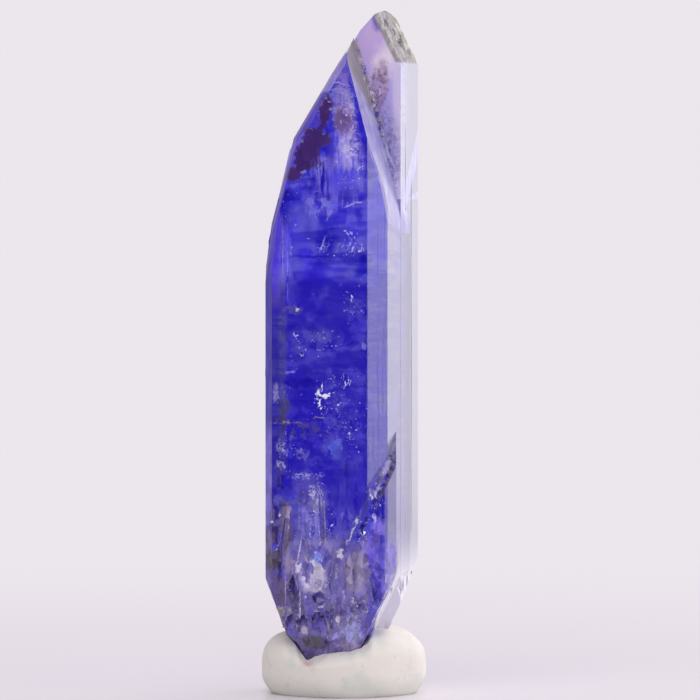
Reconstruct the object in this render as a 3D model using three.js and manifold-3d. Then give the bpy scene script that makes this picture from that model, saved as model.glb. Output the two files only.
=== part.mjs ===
// A rough tanzanite: two prisms grown together, with a thin plate over the lower right corner. It stands
// upright in a pinch of white mounting putty.
// Millimetres, +Z up. The origin is the middle of the putty's flat underside. The front looks along -Y.
import * as THREE from 'three';
import { mergeVertices } from 'three/addons/utils/BufferGeometryUtils.js';
import Module from 'manifold-3d';

const wasm = await Module();
wasm.setup();

// ---- driving dimensions ----
const LEFT = -4.58; // left side of the crystal
const FRONT = -3.2; // broad front face
const BACK = 3.2; // broad back face
const STEP = -0.9; // front face of the rear crystal, seen above the front crystal's end
const SEAM = 0.4; // how far back the front crystal reaches into the rear one
const FRONT_EDGE_LEFT = -4.2; // where the front face meets the narrow left bevel
const FRONT_EDGE_RIGHT = 1.35; // where the front face meets the striated right bevel
const BEVEL_EDGE_RIGHT = 2.54; // where that bevel meets the right side
const REAR_EDGE = 3.32; // upright front edge of the rear crystal
const FRONT_PEAK = { x: 0.35, z: 38.2 };
const REAR_PEAK = { x: 2.65, z: 40.18 };
const TOP_OF_BLOCK = 41;
const FOOT = 1.25; // lowest point of the crystal, inside the putty
const PLATE_FRONT = -3.75; // face of the overlapping plate
const PLATE_RIGHT = 3.05;

const PUTTY = { width: 9.7, depth: 8.6, widest: 1.65, rise: 2.32, below: 2.4, fullness: 3 };
const SOCKET_GAP = 0.3;

const BLOCK = 20; // width and depth of the block that each crystal is trimmed from
const REACH = 120; // side of the blocks that trim it down to its faces

// ---- materials ----
const tanzanite = new THREE.MeshStandardMaterial({ color: 0x3c30b8, roughness: 0.12, metalness: 0 });
const putty = new THREE.MeshStandardMaterial({ color: 0xd9d6cf, roughness: 0.8, metalness: 0 });

// ---- solids ----
function solid(geometry) {
  const plain = geometry.index ? geometry.clone() : geometry;
  plain.deleteAttribute('normal');
  plain.deleteAttribute('uv');
  const merged = mergeVertices(plain, 1e-5);
  return new wasm.Manifold(new wasm.Mesh({
    numProp: 3,
    vertProperties: new Float32Array(merged.attributes.position.array),
    triVerts: new Uint32Array(merged.index.array),
  }));
}

function geometryOf(body) {
  const { vertProperties, triVerts } = body.getMesh();
  const geometry = new THREE.BufferGeometry();
  geometry.setAttribute('position', new THREE.BufferAttribute(vertProperties, 3));
  geometry.setIndex(new THREE.BufferAttribute(triVerts, 1));
  geometry.computeVertexNormals();
  return geometry;
}

function meshOf(name, body, material) {
  const mesh = new THREE.Mesh(geometryOf(body), material);
  mesh.name = name;
  return mesh;
}

// Direction that a face looks in: its compass angle from +X towards +Y, and its tilt above the horizontal.
function outward(azimuth, slope = 0) {
  const a = THREE.MathUtils.degToRad(azimuth);
  const s = THREE.MathUtils.degToRad(slope);
  return new THREE.Vector3(Math.cos(a) * Math.cos(s), Math.sin(a) * Math.cos(s), Math.sin(s));
}

// The block of space outside one crystal face, which passes through the point at.
function beyond({ azimuth, slope, at }, growth = 0) {
  const normal = outward(azimuth, slope);
  const block = new THREE.BoxGeometry(REACH, REACH, REACH);
  block.translate(0, 0, REACH / 2 + growth);
  block.applyQuaternion(new THREE.Quaternion().setFromUnitVectors(new THREE.Vector3(0, 0, 1), normal));
  block.translate(...at);
  return solid(block);
}

// A convex crystal is a tall block trimmed by each of its flat faces. Growth moves every face outwards.
function crystal(faces, growth = 0) {
  let body = solid(new THREE.BoxGeometry(BLOCK, BLOCK, TOP_OF_BLOCK).translate(0, 0, TOP_OF_BLOCK / 2));
  for (const face of faces) {
    body = body.subtract(beyond(face, growth));
  }
  return body;
}

// Evenly scattered fractions between 0 and 1, the same at every run.
const GOLDEN = 0.61803398875;
const scatter = (index, lane = 0) => (index * GOLDEN + lane * 0.41421356) % 1;
const between = (low, high, fraction) => low + (high - low) * fraction;

// A small angular grain: a stretched octahedron in a turned position.
function grain(at, size, index) {
  const lump = new THREE.OctahedronGeometry(1);
  lump.scale(size, size * between(0.6, 1, scatter(index, 1)), size * between(0.9, 1.6, scatter(index, 2)));
  lump.rotateX(between(0, Math.PI, scatter(index, 3)));
  lump.rotateZ(between(0, Math.PI, scatter(index, 4)));
  lump.translate(...at);
  return solid(lump);
}

// A pointed hollow with flat sides. It is longest along the crystal, because tanzanite splinters that way.
function splinter(at, { wide, deep, high }, heading, index) {
  const bite = new THREE.OctahedronGeometry(1);
  bite.rotateX(between(-0.4, 0.4, scatter(index, 1)));
  bite.rotateZ(between(-0.4, 0.4, scatter(index, 2)));
  bite.scale(deep, wide, high);
  bite.rotateX(between(-0.15, 0.15, scatter(index, 3)));
  bite.rotateZ(heading);
  bite.translate(...at);
  return solid(bite);
}

// ---- the front crystal ----
const frontFaces = [
  { azimuth: -90, at: [0, FRONT, 0] },
  { azimuth: -155, at: [FRONT_EDGE_LEFT, FRONT, 0] },
  { azimuth: 180, at: [LEFT, 0, 0] },
  { azimuth: -55, at: [FRONT_EDGE_RIGHT, FRONT, 0] },
  { azimuth: -27.5, at: [BEVEL_EDGE_RIGHT, -2.37, 0] },
  { azimuth: 90, at: [0, SEAM, 0] },
  // chisel end, right: a steep smooth slope, then the matt facet that runs up to the peak
  { azimuth: -20.4, slope: 13.5, at: [0.53, FRONT, 35.8] },
  { azimuth: -25, slope: 6.5, at: [2.28, -2.55, 30] },
  { azimuth: -17.5, slope: 15.9, at: [FRONT_PEAK.x + 0.3, STEP, FRONT_PEAK.z + 0.1] },
  { azimuth: 95, slope: 25, at: [FRONT_PEAK.x, STEP, FRONT_PEAK.z] },
  // chisel end, left: three slopes that steepen into the left side
  { azimuth: -176, slope: 30.5, at: [-1.39, SEAM, 35.3] },
  { azimuth: -176, slope: 14.5, at: [-3.49, SEAM, 30.6] },
  { azimuth: -177, slope: 7.5, at: [-4.33, SEAM, 27.1] },
  // narrow bevels in front of those slopes
  { azimuth: -136, slope: 23, at: [-0.9, FRONT, 35.2] },
  { azimuth: -139, slope: 11, at: [-3.12, FRONT, 30.8] },
  { azimuth: -146, slope: 5, at: [-3.95, FRONT, 27] },
  // broken foot
  { azimuth: -178, slope: -20.3, at: [-4.08, -1.6, 5.5] },
  { azimuth: -165, slope: -31, at: [-3.1, -1.8, 3.4] },
  { azimuth: -92, slope: -14, at: [0, FRONT, 6.2] },
  { azimuth: -70, slope: -40, at: [0, -2.5, 2.75] },
  { azimuth: -20, slope: -23, at: [2.42, -1.8, 5.7] },
  { azimuth: 0, slope: -90, at: [0, 0, FOOT] },
];

// ---- the rear crystal, grown against its back and taller by two millimetres ----
const rearFaces = [
  { azimuth: -90, at: [0, STEP, 0] },
  { azimuth: -17, at: [REAR_EDGE, STEP, 0] },
  { azimuth: 36, at: [4.4, 2.55, 0] },
  { azimuth: 90, at: [0, BACK, 0] },
  { azimuth: 138, at: [-3.5, BACK, 0] },
  { azimuth: 180, at: [LEFT + 0.16, 0, 0] },
  // end: two slopes on the left, the rough cap with its narrow outer strip on the right, a slope behind
  { azimuth: 178, slope: 30.5, at: [0.64, STEP, 38.4] },
  { azimuth: 180, slope: 42, at: [1.66, STEP, 39.72] },
  { azimuth: -20.6, slope: 24.2, at: [1.94, STEP, 40] },
  { azimuth: 3, slope: 25, at: [3.62, 1.4, 38.75] },
  { azimuth: 180, slope: 66, at: [2.2, STEP, 40.06] },
  { azimuth: 60, slope: 80, at: [REAR_PEAK.x, 0.6, REAR_PEAK.z] },
  { azimuth: 92, slope: 48, at: [2.5, 2, 39.5] },
  { azimuth: 175, slope: 13, at: [-3.6, 1, 29.4] },
  // broken foot
  { azimuth: 178, slope: -21, at: [-4.1, 1.2, 6.3] },
  { azimuth: 2, slope: -25, at: [3.5, 1, 5.85] },
  { azimuth: 88, slope: -21, at: [0, BACK, 7.4] },
  { azimuth: 120, slope: -52, at: [0, 1.9, 3.4] },
  { azimuth: 0, slope: -90, at: [0, 0, FOOT + 0.7] },
];

// ---- the plate over the lower right corner ----
const plateFaces = [
  { azimuth: -88, at: [0, PLATE_FRONT, 8] },
  { azimuth: 0, at: [PLATE_RIGHT, 0, 0] },
  { azimuth: -42, at: [2.3, PLATE_FRONT, 8] },
  { azimuth: 90, at: [0, 0, 0] },
  // broken upper left edge: slopes that leave a wide slanted band between the plate and the face under it
  { azimuth: -116, slope: 35, at: [2.36, -2.5, 13.6] },
  { azimuth: -119, slope: 15, at: [1.42, FRONT, 11.8] },
  { azimuth: -131, slope: 8, at: [0.2, FRONT, 9.3] },
  { azimuth: -140, at: [-0.4, FRONT, 6] },
  // foot
  { azimuth: -95, slope: -18, at: [0.5, PLATE_FRONT, 5.8] },
  { azimuth: -8, slope: -24, at: [2.45, -2, 5.75] },
  { azimuth: 0, slope: -90, at: [0, 0, 2.4] },
];

// ---- growth marks ----
const GROOVE_SPREAD = 1.6; // half width of a groove for each unit of depth

// Shallow grooves. Each is a long rhombic bar sunk into a face by its depth, with pointed ends. Lean, in
// radians, tips its top to the left.
function groove({ x, y, from, to, depth, lean = 0 }) {
  const length = to - from;
  const bar = new THREE.OctahedronGeometry(1);
  bar.scale(depth * GROOVE_SPREAD, depth, length / 2);
  bar.rotateY(-lean);
  bar.translate(x, y, from + length / 2);
  return solid(bar);
}

const rightBevelY = (x) => FRONT + (x - FRONT_EDGE_RIGHT) * Math.tan(THREE.MathUtils.degToRad(35));
const rightSideY = (x) => STEP + (x - REAR_EDGE) * Math.tan(THREE.MathUtils.degToRad(73));

const grooves = [
  { x: -3.72, y: FRONT, from: 9, to: 26.2, depth: 0.05 },
  { x: -2.6, y: FRONT, from: 12.5, to: 31.4, depth: 0.04 },
  { x: -0.95, y: FRONT, from: 8.4, to: 24.6, depth: 0.05 },
  { x: 0.72, y: FRONT, from: 14, to: 33.8, depth: 0.05 },
  { x: 1.72, y: rightBevelY(1.72), from: 12.8, to: 28.6, depth: 0.06 },
  { x: 1.96, y: rightBevelY(1.96), from: 13.6, to: 30.4, depth: 0.09 },
  { x: 2.28, y: rightBevelY(2.28), from: 14.2, to: 27.4, depth: 0.05 },
  { x: 3.62, y: rightSideY(3.62), from: 10.5, to: 33.5, depth: 0.06 },
  { x: 3.98, y: rightSideY(3.98), from: 9.2, to: 30.2, depth: 0.05 },
  { x: 2.72, y: STEP, from: 30.4, to: 33, depth: 0.12, lean: 0.34 },
  { x: -2.2, y: BACK, from: 10.4, to: 31.2, depth: 0.06 },
  { x: -0.4, y: BACK, from: 8.6, to: 28.4, depth: 0.05 },
  { x: 1.3, y: BACK, from: 12.2, to: 35.6, depth: 0.07 },
  { x: 2.7, y: BACK, from: 9.4, to: 33, depth: 0.05 },
  { x: LEFT, y: -1.1, from: 8.8, to: 23.6, depth: 0.06 },
];

// Thin growth layers on the broad back face. Each stands proud of it by its lift, and has pointed ends.
function layer({ x, z, width, height, lift, tip }) {
  const side = height / 2;
  const outline = new THREE.Shape();
  outline.moveTo(-width / 2, -side);
  outline.lineTo(width * 0.2, -side - tip * 0.6);
  outline.lineTo(width / 2, -side + tip * 0.4);
  outline.lineTo(width / 2, side - tip);
  outline.lineTo(width * 0.1, side + tip);
  outline.lineTo(-width / 2, side);
  const slab = new THREE.ExtrudeGeometry(outline, { depth: lift * 2, bevelEnabled: false });
  slab.rotateX(Math.PI / 2);
  slab.translate(x, BACK + lift, z);
  return solid(slab);
}

const layers = [
  { x: -2.5, z: 17.5, width: 1.7, height: 14, lift: 0.07, tip: 1.6 },
  { x: 0.7, z: 22.6, width: 1.5, height: 18, lift: 0.09, tip: 2.1 },
  { x: 2.3, z: 14.4, width: 1, height: 7.5, lift: 0.06, tip: 1.1 },
];

// ---- broken places ----
const CRUMB_COUNT = 13;
const seamTop = new THREE.Vector3(0.78, STEP, 37.9);
const seamEnd = new THREE.Vector3(2.36, STEP, 32.6);

// Small grains along the seam where the front crystal's matt facet runs out against the rear crystal.
function seamCrumb(index) {
  const spot = seamTop.clone().lerp(seamEnd, (index + 0.5) / CRUMB_COUNT);
  return grain(spot.toArray(), between(0.12, 0.24, scatter(index)), index);
}

const CAP_CHIPS = 8;
const capTop = new THREE.Vector3(2.55, -0.1, 39.6);
const capEnd = new THREE.Vector3(3.9, 1.1, 37.6);

// Shallow angular hollows along the rough cap of the rear crystal.
function capChip(index) {
  const spot = capTop.clone().lerp(capEnd, (index + 0.5) / CAP_CHIPS);
  spot.x += between(-0.1, 0.3, scatter(index, 5));
  spot.y += between(-0.7, 0.5, scatter(index, 6));
  return grain(spot.toArray(), between(0.2, 0.42, scatter(index, 7)), index + CRUMB_COUNT);
}

// How far a straight line runs from a point inside a crystal before it leaves through one of the faces.
function wayOut(faces, start, heading) {
  let shortest = Infinity;
  for (const { azimuth, slope, at } of faces) {
    const normal = outward(azimuth, slope);
    const room = normal.dot(new THREE.Vector3(...at).sub(start));
    const speed = normal.dot(heading);
    if (room < 0) {
      return 0;
    }
    if (speed > 0) {
      shortest = Math.min(shortest, room / speed);
    }
  }
  return shortest;
}

// The point where that line reaches the outside of the whole group.
function surfacePoint(start, heading, proud = 0) {
  const ways = [frontFaces, rearFaces, plateFaces].map((faces) => wayOut(faces, start, heading));
  return start.clone().addScaledVector(heading, Math.max(...ways) + proud);
}

const FRONTWARDS = -Math.PI / 2;
const forwards = new THREE.Vector3(0, -1, 0);

const PLATE_CHIPS = 9;
const breakTop = new THREE.Vector3(2.86, -1.6, 13.6);
const breakEnd = new THREE.Vector3(0.7, -1.6, 9.2);

// Stepped bites out of the plate's broken upper edge.
function plateChip(index) {
  const start = breakTop.clone().lerp(breakEnd, (index + 0.5) / PLATE_CHIPS);
  const size = between(0.14, 0.28, scatter(index, 8));
  const bite = { wide: size, deep: size, high: size * 2 };
  return splinter(surfacePoint(start, forwards).toArray(), bite, FRONTWARDS, index);
}

// Long hollows low on the front, where splinters broke away: x and z of the middle, and half sizes.
const frontHollows = [
  { x: -3.5, z: 9, wide: 0.3, high: 1.9, deep: 0.16 },
  { x: -2.95, z: 6.3, wide: 0.36, high: 1.3, deep: 0.3 },
  { x: -2.15, z: 8.6, wide: 0.24, high: 1.4, deep: 0.15 },
  { x: -1.5, z: 5.85, wide: 0.5, high: 0.7, deep: 0.24 },
  { x: -1.3, z: 10.4, wide: 0.2, high: 2.1, deep: 0.1 },
  { x: -0.7, z: 7.2, wide: 0.26, high: 1.8, deep: 0.18 },
  { x: -1, z: 4.4, wide: 0.3, high: 0.8, deep: 0.2 },
  { x: 0.5, z: 4.3, wide: 0.36, high: 0.9, deep: 0.2 },
  { x: 0.75, z: 7.4, wide: 0.3, high: 1.5, deep: 0.12 },
  { x: 1.7, z: 5.9, wide: 0.3, high: 1.3, deep: 0.2 },
];

function frontHollow(hollow, index) {
  const start = new THREE.Vector3(hollow.x, -1.6, hollow.z);
  return splinter(surfacePoint(start, forwards).toArray(), hollow, FRONTWARDS, index);
}

const FOOT_CHIPS = 34;
const FOOT_TOP = 7.8;
const FOOT_BOTTOM = 2.4;

// Angular bites round the broken foot, larger near the bottom.
function footChip(index) {
  const start = new THREE.Vector3(0, -0.4, between(FOOT_BOTTOM, FOOT_TOP, scatter(index, 9)));
  const angle = 2 * Math.PI * scatter(index);
  const heading = new THREE.Vector3(Math.cos(angle), Math.sin(angle), 0);
  const size = between(0.62, 0.3, (start.z - FOOT_BOTTOM) / (FOOT_TOP - FOOT_BOTTOM));
  const bite = { wide: size, deep: size * 0.55, high: size * between(1.2, 2.2, scatter(index, 8)) };
  return splinter(surfacePoint(start, heading).toArray(), bite, angle, index);
}

const repeat = (count, make) => Array.from({ length: count }, (unused, index) => make(index));

function tanzaniteBody() {
  let body = crystal(frontFaces).add(crystal(rearFaces)).add(crystal(plateFaces));
  for (const addition of [...layers.map(layer), ...repeat(CRUMB_COUNT, seamCrumb)]) {
    body = body.add(addition);
  }
  const bites = [
    ...grooves.map(groove),
    ...repeat(CAP_CHIPS, capChip),
    ...repeat(PLATE_CHIPS, plateChip),
    ...frontHollows.map(frontHollow),
    ...repeat(FOOT_CHIPS, footChip),
  ];
  for (const bite of bites) {
    body = body.subtract(bite);
  }
  return body;
}

// ---- the putty ----
const PRESSED_AT_Y = -3.6; // the front rim, where the crystal's foot dents it
const DENT_REACH_Y = 1.8;

// Depth of one dent in the front rim, from 0 away from it to 1 at its middle.
function dent(x, y, middle, reach) {
  return Math.exp(-(((x - middle) / reach) ** 2) - ((y - PRESSED_AT_Y) / DENT_REACH_Y) ** 2);
}

// A pinched lump: full sides, a soft dip where the crystal is pressed in at the front, and finger marks.
function puttyLump() {
  const lump = new THREE.SphereGeometry(1, 60, 30);
  lump.rotateX(Math.PI / 2);
  const position = lump.attributes.position;
  const point = new THREE.Vector3();
  for (let i = 0; i < position.count; i += 1) {
    point.fromBufferAttribute(position, i);
    const flat = Math.hypot(point.x, point.y);
    const rim = Math.pow(1 - Math.pow(Math.abs(point.z), PUTTY.fullness), 1 / PUTTY.fullness);
    const spread = flat > 1e-6 ? rim / flat : 0;
    const angle = Math.atan2(point.y, point.x);
    const pinch = 1 - 0.022 * (1 + Math.cos(3 * angle + 1.6)) - 0.012 * (1 + Math.sin(5 * angle));
    const x = point.x * spread * pinch * PUTTY.width / 2;
    const y = point.y * spread * pinch * PUTTY.depth / 2;
    const dip = 0.5 * dent(x, y, -0.5, 2.3) + 0.4 * dent(x, y, -2.2, 0.7);
    const height = point.z > 0 ? PUTTY.rise * (1 + 0.03 * x / 4.8 - dip) : PUTTY.below;
    position.setXYZ(i, x, y, PUTTY.widest + point.z * height);
  }
  lump.computeBoundingBox();
  const size = lump.boundingBox.getSize(new THREE.Vector3());
  lump.center();
  lump.scale(PUTTY.width / size.x, PUTTY.depth / size.y, 1);
  lump.translate(0, 0, PUTTY.widest - PUTTY.below + size.z / 2);
  return solid(lump);
}

function puttyBody() {
  const underside = { azimuth: 0, slope: -90, at: [0, 0, 0] };
  return puttyLump()
    .subtract(beyond(underside))
    .subtract(crystal(frontFaces, SOCKET_GAP))
    .subtract(crystal(rearFaces, SOCKET_GAP))
    .subtract(crystal(plateFaces, SOCKET_GAP));
}

const tanzaniteOnPutty = new THREE.Group();
tanzaniteOnPutty.add(meshOf('tanzanite_crystal', tanzaniteBody(), tanzanite));
tanzaniteOnPutty.add(meshOf('mounting_putty', puttyBody(), putty));

export default tanzaniteOnPutty;
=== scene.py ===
"""A rough tanzanite crystal standing in a pinch of white mounting putty."""

import math
import random

import bmesh
import bpy
from mathutils import Matrix, Vector, noise


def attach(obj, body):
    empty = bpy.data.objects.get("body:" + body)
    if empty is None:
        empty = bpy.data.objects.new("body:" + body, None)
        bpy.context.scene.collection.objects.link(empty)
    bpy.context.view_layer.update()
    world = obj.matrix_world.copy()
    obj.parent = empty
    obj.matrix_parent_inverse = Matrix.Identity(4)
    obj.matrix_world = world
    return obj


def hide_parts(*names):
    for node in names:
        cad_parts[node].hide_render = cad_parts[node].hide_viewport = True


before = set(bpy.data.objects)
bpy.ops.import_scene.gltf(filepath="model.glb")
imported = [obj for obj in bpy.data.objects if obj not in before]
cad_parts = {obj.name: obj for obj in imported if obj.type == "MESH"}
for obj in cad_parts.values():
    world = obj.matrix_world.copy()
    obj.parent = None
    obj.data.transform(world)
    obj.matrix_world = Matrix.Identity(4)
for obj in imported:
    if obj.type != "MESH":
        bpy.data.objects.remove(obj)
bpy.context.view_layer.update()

MM = 0.001
scene = bpy.context.scene

# ---- helpers ----


def srgb(code):
    """Linear colour of an sRGB hex value."""
    parts = [int(code[i:i + 2], 16) / 255 for i in (0, 2, 4)]
    return tuple(p / 12.92 if p <= 0.04045 else ((p + 0.055) / 1.055) ** 2.4 for p in parts) + (1.0,)


def mix(low, high, share):
    return low + (high - low) * share


def ease(low, high, value):
    """0 at low, 1 at high, with a smooth run between."""
    share = min(1, max(0, (value - low) / (high - low)))
    return share * share * (3 - 2 * share)


def facing(azimuth, slope):
    """Unit normal of a face: azimuth turned from +X to +Y, slope tipped up from upright, both in degrees."""
    turn, tip = math.radians(azimuth), math.radians(slope)
    return Vector((math.cos(tip) * math.cos(turn), math.cos(tip) * math.sin(turn), math.sin(tip)))


def add(tree, kind, inputs=None, **settings):
    """Adds a shader node. Inputs go by name or number, and are a value or the socket that feeds them."""
    node = tree.nodes.new("ShaderNode" + kind)
    for name, value in settings.items():
        setattr(node, name, value)
    for key, value in (inputs or {}).items():
        socket = node.inputs[key]
        if isinstance(value, bpy.types.NodeSocket):
            tree.links.new(value, socket)
        else:
            socket.default_value = value
    return node


def new_material(name):
    material = bpy.data.materials.new(name)
    material.use_nodes = True
    material.node_tree.nodes.clear()
    return material, material.node_tree


def new_mesh(bm, name):
    """Turns the bmesh into a mesh, and frees it."""
    mesh = bpy.data.meshes.new(name)
    bm.to_mesh(mesh)
    bm.free()
    return mesh


def new_object(name, data):
    thing = bpy.data.objects.new(name, data)
    scene.collection.objects.link(thing)
    return thing


def finish_piece(bm, name, material, crisp=None):
    """Makes the piece's object. Edges that turn by more than crisp degrees stay sharp, the others smooth."""
    if crisp is not None:
        for face in bm.faces:
            face.smooth = True
        for edge in bm.edges:
            if edge.calc_face_angle(0) > math.radians(crisp):
                edge.smooth = False
    piece = new_object(name, new_mesh(bm, name))
    piece.data.materials.append(material)
    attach(piece, "root")
    return piece


def cut_flat(bm, plane_at, outward):
    """Cuts off what lies beyond a plane, and closes the hole with one flat face."""
    everything = bm.verts[:] + bm.edges[:] + bm.faces[:]
    cut = bmesh.ops.bisect_plane(bm, geom=everything, plane_co=plane_at, plane_no=outward, clear_outer=True)
    bmesh.ops.holes_fill(bm, edges=[e for e in cut["geom_cut"] if isinstance(e, bmesh.types.BMEdge)])


# ---- the crystal's mesh ----
FRONT_Y = -3.2
STEP_Y = -0.9  # front face of the rear crystal
BACK_Y = 3.2
BEVEL_EDGE = 1.35  # x at which the front face turns into the striated right bevel
BEVEL_TURN = 35
# faces that have a finish of their own: azimuth, slope and a point on the face
ROUGH_CAP = (-20.6, 24.2, (1.94, STEP_Y, 40))
OUTER_CAP = (3, 25, (3.62, 1.4, 38.75))
MATT_BAND = (-17.5, 15.9, (0.65, STEP_Y, 38.3))
PALE_SLOPE = (-20.4, 13.5, (0.53, FRONT_Y, 35.8))
LOWER_SLOPE = (-25, 6.5, (2.28, -2.55, 30))

# the solid's long grooves
GROOVED = 0.08  # no groove in front or behind is deeper
HEALED = 0.15  # share of a front groove's depth that is left
GROOVES_Z = (9, 36)
BEVEL_GROOVES_X = (1.4, 2.5)
BEVEL_GROOVED = 0.3
ON_FACE = 0.005  # a corner nearer to a face than this lies on it
FLAT = math.radians(0.5)  # faces that meet at a smaller angle are one
CREASE = math.radians(3)  # edges that turn by more stay sharp

# heights of the relief, in mm
STRIATION = 0.0015
BEVEL_STRIATION = 0.0028
HUMMOCK = 0.11
GROWTH_STEP = 0.012
BACK_SUNK = 0.05  # the back and the caps are lowered, so that their relief stays inside the solid
CAP_SUNK = 0.06
CAP_GRIT = 0.08
BAND_GRIT = 0.03
SHARD_GAP = 0.10
SHARD_TILT = 0.26
SHARD_RAGGED = 0.035
SPLINTER_TILT = 0.22
SPLINTER_SUNK = 0.04


def bevel_y(x):
    return FRONT_Y + (x - BEVEL_EDGE) * math.tan(math.radians(BEVEL_TURN))


def merged_copy(node):
    """A CAD node's triangles with shared corners and whole flat faces, in metres."""
    bm = bmesh.new()
    bm.from_mesh(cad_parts[node].data)
    bmesh.ops.remove_doubles(bm, verts=bm.verts, dist=0.0005 * MM)
    bmesh.ops.dissolve_limit(bm, angle_limit=FLAT, verts=bm.verts, edges=bm.edges)
    return bm


def slice_up(bm, axis, start, stop, pitch, wanted=None):
    """Cuts the wanted faces with parallel planes, so that they can take relief."""
    normal = Vector((0, 0, 0))
    normal[axis] = 1
    for step in range(int((stop - start) / pitch) + 1):
        at = (start + step * pitch) * MM
        faces = [f for f in bm.faces if wanted is None or wanted(f.calc_center_median() / MM)]
        edges = {e for f in faces for e in f.edges}
        verts = {v for f in faces for v in f.verts}
        bmesh.ops.bisect_plane(bm, geom=list(verts) + list(edges) + faces, dist=1e-8,
                               plane_co=normal * at, plane_no=normal)


def striations(point, normal):
    """Fine lengthwise lines, a little deeper on the bevel. Each side of the crystal has lines of its own."""
    along = Vector((-normal.y, normal.x, 0)).dot(point)
    side = round(math.degrees(math.atan2(normal.y, normal.x)) / 20)
    bevel = ease(0.5, 0.75, normal.x) * (1 - ease(0.8, 0.87, normal.x))
    line = noise.noise(Vector((along * 3.1, point.z * 0.05, side * 7.0)))
    fine_line = noise.noise(Vector((along * 8.0, point.z * 0.11, side * 3.0)))
    return mix(STRIATION, BEVEL_STRIATION, bevel) * (line + fine_line * 0.5)


def growth_layers(point):
    """Low hummocks and thin growth steps, for the back."""
    hummock = noise.fractal(Vector((point.x * 0.9, point.y * 0.6, point.z * 0.6)), 0.9, 2.1, 3)
    layer = math.floor(noise.noise(Vector((point.x * 0.5, 9.0, point.z * 0.35))) * 9)
    return hummock * HUMMOCK + layer * GROWTH_STEP


def shards(point):
    """Flat angular shards of random tilt, with gaps between them, for the broken foot."""
    wide, high = 1.5, 0.8  # shards per mm
    near, middle = noise.voronoi(Vector((point.x * wide, point.y * wide, point.z * high)))
    facet = noise.cell(middle[0] * 7) * (point.x - middle[0].x / wide)
    facet += (noise.cell(middle[0] * 3) - 0.5) * 0.4 * (point.z - middle[0].z / high)
    ragged = noise.fractal(point * 2.3, 0.9, 2.2, 3)
    return facet * SHARD_TILT - SHARD_GAP * (1 - ease(0, 0.4, near[1] - near[0])) + ragged * SHARD_RAGGED


def splinters(point):
    """Long shallow splinters, for the shattered front above the foot."""
    wide, high = 2.1, 0.55  # splinters per mm
    middle = noise.voronoi(Vector((point.x * wide, 4.0, point.z * high)))[1]
    return (noise.cell(middle[0] * 5) - 0.5) * SPLINTER_TILT * (point.x - middle[0].x / wide) - SPLINTER_SUNK


def closeness(face, point):
    """1 on a flat face of the crystal, 0 away from it."""
    azimuth, slope, through = face
    return 1 - ease(0.03, 0.1, abs(facing(azimuth, slope).dot(point - Vector(through))))


def relief(point, normal):
    """How far the skin lies off its flat face at a point, in mm."""
    upright = 1 - ease(0.1, 0.35, abs(normal.z))
    behind = ease(0.2, 0.6, normal.y)
    broken = ease(6.0 - 0.35 * point.x, 3.6, point.z)
    in_front = ease(0.5, 0.9, -normal.y) * (1 - ease(1.5, 2.1, point.x))
    shattered = ease(10.5 + point.x * 0.5, 7.5, point.z) * in_front
    cap = max(closeness(ROUGH_CAP, point), closeness(OUTER_CAP, point))
    grit = noise.fractal(Vector((point.x, point.y, point.z * 0.5)) * 5, 0.8, 2.0, 3)
    whole = striations(point, normal) * upright + splinters(point) * shattered
    ends = grit * (CAP_GRIT * cap + BAND_GRIT * closeness(MATT_BAND, point)) - CAP_SUNK * cap
    return mix(whole, shards(point), broken) + (growth_layers(point) - BACK_SUNK) * behind + ends


def heal_grooves(bm):
    """Closes most of the front grooves, and all of those on the bevel."""
    healed = []
    for vert in bm.verts:
        x, y, z = vert.co / MM
        if not GROOVES_Z[0] < z < GROOVES_Z[1]:
            continue
        in_front = y - FRONT_Y
        on_bevel = y - bevel_y(x)
        if x < BEVEL_EDGE and ON_FACE < abs(in_front) < GROOVED:
            vert.co.y = (FRONT_Y + in_front * HEALED) * MM
        elif BEVEL_GROOVES_X[0] < x < BEVEL_GROOVES_X[1] and ON_FACE < abs(on_bevel) < BEVEL_GROOVED:
            vert.co.y = bevel_y(x) * MM
            healed.append(vert)
    bmesh.ops.dissolve_verts(bm, verts=healed)
    bmesh.ops.dissolve_degenerate(bm, edges=bm.edges, dist=0.001 * MM)
    bmesh.ops.dissolve_limit(bm, angle_limit=FLAT, verts=bm.verts, edges=bm.edges)


def crystal_mesh():
    bm = merged_copy("tanzanite_crystal")
    # the back is taken down below its grooves, whose walls would glare through the stone
    cut_flat(bm, (0, (BACK_Y - GROOVED) * MM, 0), (0, 1, 0))
    heal_grooves(bm)
    bm.normal_update()
    for edge in bm.edges:
        if edge.calc_face_angle(0) > CREASE:
            edge.smooth = False
    coarse = 1
    slice_up(bm, 2, 0.4, 40.2, 0.4 * coarse)
    slice_up(bm, 0, -4.6, 4.4, 0.16 * coarse)
    slice_up(bm, 1, -3.8, 3.3, 0.2 * coarse)
    # finer on the bevel, the foot and the tip
    slice_up(bm, 0, 1.3, 2.6, 0.055 * coarse, wanted=lambda c: 1.3 < c.x < 2.6 and c.y < -2 and 8 < c.z < 31)
    slice_up(bm, 2, 1.2, 6.5, 0.13 * coarse, wanted=lambda c: c.z < 6.5)
    slice_up(bm, 2, 36.5, 40.2, 0.13 * coarse, wanted=lambda c: c.z > 36.5)
    bm.normal_update()
    shifts = [v.normal * relief(v.co / MM, v.normal) * MM for v in bm.verts]
    for vert, shift in zip(bm.verts, shifts):
        vert.co += shift
    return bm


# ---- things inside the crystal ----
PLATES_FACE = -90  # azimuth


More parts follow.
